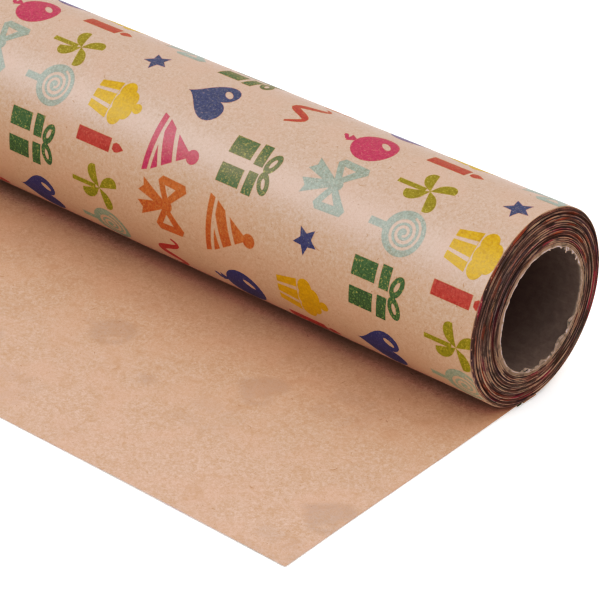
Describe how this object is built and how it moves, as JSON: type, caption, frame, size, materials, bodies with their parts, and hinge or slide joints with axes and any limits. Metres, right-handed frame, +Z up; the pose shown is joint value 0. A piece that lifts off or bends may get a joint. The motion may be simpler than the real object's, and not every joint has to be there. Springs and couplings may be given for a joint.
{
  "type": "wrapping paper roll",
  "caption": "Roll of printed kraft gift wrap on a cardboard core, its free end laid flat in front, that rolls forward over the laid end and winds it up.",
  "frame": {"origin": "middle of the footprint, on the table surface", "axes": "+X along the roll, towards the end whose core stands out; +Y behind the roll, away from the laid end; +Z up"},
  "size_m": [0.4464, 0.114, 0.0503],
  "materials": {
    "kraft_print": "brown kraft, printed in eight colours with a satin sheen",
    "kraft_back": "brown kraft, unprinted, matt, with the print showing through faintly",
    "lap_edges": "cut paper edges, dark brown with ink-stained streaks",
    "core_board": "grey-brown chipboard with a ragged pale cut edge",
    "glue": "dried white adhesive",
    "print_ink": "flexographic ink, matt, broken by the paper's grain"
  },
  "bodies": {
    "sheet": {"laid_flap": "kraft_back"},
    "carriage": {"nip_strip": "kraft_back"},
    "roll": {"core_inner_ply": "core_board", "core_middle_ply": "core_board", "core_outer_ply": "core_board", "start_glue_line": "glue", "paper_laps_01": "lap_edges", "paper_laps_02": "lap_edges", "paper_laps_03": "lap_edges", "paper_laps_04": "lap_edges", "paper_laps_05": "lap_edges", "paper_laps_06": "lap_edges", "paper_laps_07": "lap_edges", "paper_laps_08": "lap_edges", "paper_laps_09": "lap_edges", "paper_laps_10": "lap_edges", "paper_laps_11": "lap_edges", "paper_laps_12": "lap_edges", "outer_laps": "kraft_print"}
  },
  "joints": [
    {"name": "wind_travel", "type": "slide", "parent": "sheet", "child": "carriage", "axis": [0, -1, 0], "range_m": [0, 0.084], "deforming": ["laid_flap"]},
    {"name": "wind_turn", "type": "hinge", "parent": "carriage", "child": "roll", "pos_m": [0, 0.032, 0.02535], "axis": [1, 0, 0], "range_deg": [0, 192.51]}
  ],
  "couplings": [
    {"joint": "wind_turn", "follows": "wind_travel", "rad_per_m": 40}
  ]
}
